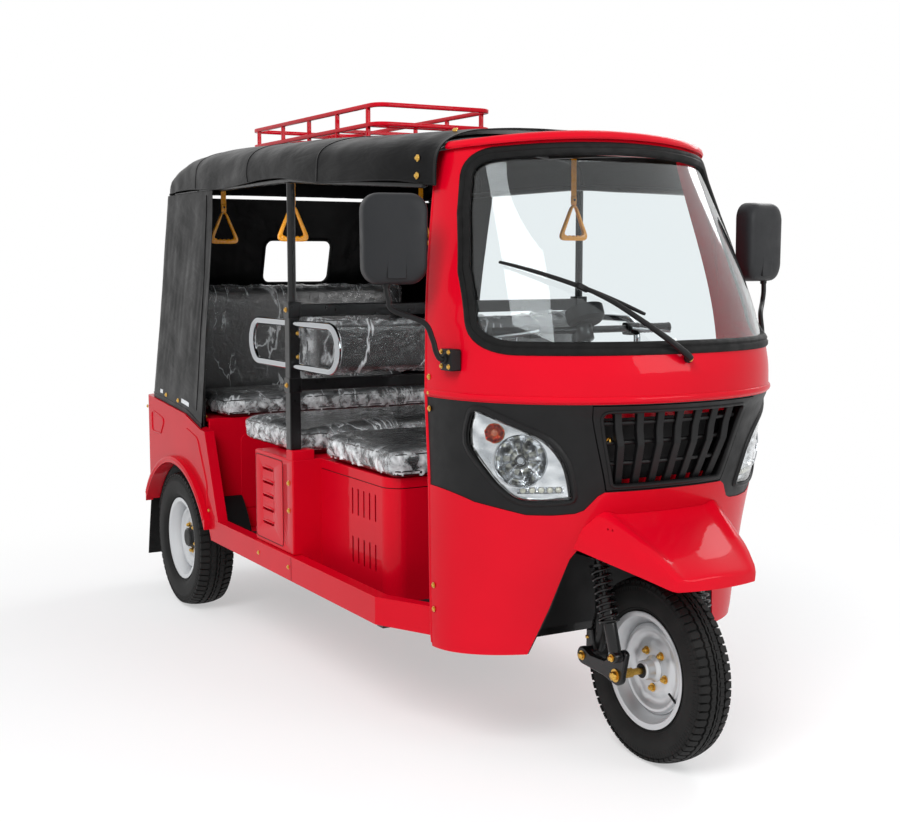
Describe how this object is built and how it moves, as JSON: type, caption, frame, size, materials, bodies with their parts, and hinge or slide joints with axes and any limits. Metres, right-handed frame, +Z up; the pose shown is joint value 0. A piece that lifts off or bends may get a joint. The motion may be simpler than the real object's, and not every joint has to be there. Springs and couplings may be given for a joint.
{
  "type": "auto rickshaw",
  "caption": "Red passenger three-wheeler with a black hood, open sides, roof rack and a steered front wheel.",
  "frame": {"origin": "centre of the bounding box, on the ground", "axes": "-Y is the direction of travel, +X the vehicle's left side, +Z up"},
  "size_m": [1.5182, 3.14, 1.976],
  "materials": {
    "red_paint": "gloss",
    "black_paint": "satin",
    "silver_paint": "satin",
    "chrome": "polished",
    "black_plastic": "matte",
    "lamp_lens": "clear",
    "red_lens": "gloss",
    "screen_glass": "clear",
    "black_rubber": "matte",
    "tyre_rubber": "matte",
    "hood_vinyl": "satin",
    "seat_vinyl": "satin",
    "yellow_plastic": "gloss",
    "cast_metal": "matte"
  },
  "bodies": {
    "body": {"chassis_frame": "black_paint", "floor_pan": "red_paint", "cab_nose": "red_paint", "front_fender": "red_paint", "wheel_liner": "black_plastic", "lamp_panels": "black_plastic", "grille": "red_paint", "headlamps": "lamp_lens", "cab_front": "red_paint", "windshield_seal": "black_rubber", "windshield_glass": "screen_glass", "roof_visor": "red_paint", "wiper": "black_plastic", "mirrors": "black_plastic", "dashboard": "black_plastic", "canopy_cover": "hood_vinyl", "rear_curtain": "hood_vinyl", "canopy_frame": "black_paint", "roof_rack": "red_paint", "centre_posts": "black_paint", "grab_rails": "chrome", "grab_handles": "yellow_plastic", "seat_box": "red_paint", "driver_seat": "seat_vinyl", "middle_bench": "seat_vinyl", "middle_backrest": "seat_vinyl", "rear_bench_base": "red_paint", "rear_bench_cushion": "seat_vinyl", "rear_backrest": "seat_vinyl", "rear_body": "red_paint", "wheel_housings": "black_plastic", "tail_lamps": "red_lens", "mud_flaps": "black_rubber", "floor_mats": "black_rubber", "engine": "cast_metal", "rear_axle": "cast_metal", "leaf_springs": "cast_metal", "exhaust": "cast_metal"},
    "steering": {"handlebar": "black_paint", "front_fork": "black_paint", "suspension_links": "cast_metal", "front_shocks": "black_paint"},
    "front_wheel": {"front_tyre": "tyre_rubber", "front_rim": "silver_paint"},
    "rear_wheel_right": {"rear_tyre_right": "tyre_rubber", "rear_rim_right": "silver_paint"},
    "rear_wheel_left": {"rear_tyre_left": "tyre_rubber", "rear_rim_left": "silver_paint"},
    "luggage_hatch": {"luggage_hatch": "red_paint"}
  },
  "joints": [
    {"name": "steering", "type": "hinge", "parent": "body", "child": "steering", "pos_m": [0, -1.36, 0], "axis": [0, 0.342, 0.9397], "range_deg": [-40, 40]},
    {"name": "front_wheel_spin", "type": "hinge", "parent": "steering", "child": "front_wheel", "pos_m": [0, -1.3, 0.267], "axis": [1, 0, 0], "continuous": true},
    {"name": "rear_wheel_right_spin", "type": "hinge", "parent": "body", "child": "rear_wheel_right", "pos_m": [-0.545, 1.09, 0.281], "axis": [1, 0, 0], "continuous": true},
    {"name": "rear_wheel_left_spin", "type": "hinge", "parent": "body", "child": "rear_wheel_left", "pos_m": [0.545, 1.09, 0.281], "axis": [1, 0, 0], "continuous": true},
    {"name": "hatch_hinge", "type": "hinge", "parent": "body", "child": "luggage_hatch", "pos_m": [0, 1.509, 0.797], "axis": [1, 0, 0], "range_deg": [0, 80]}
  ]
}
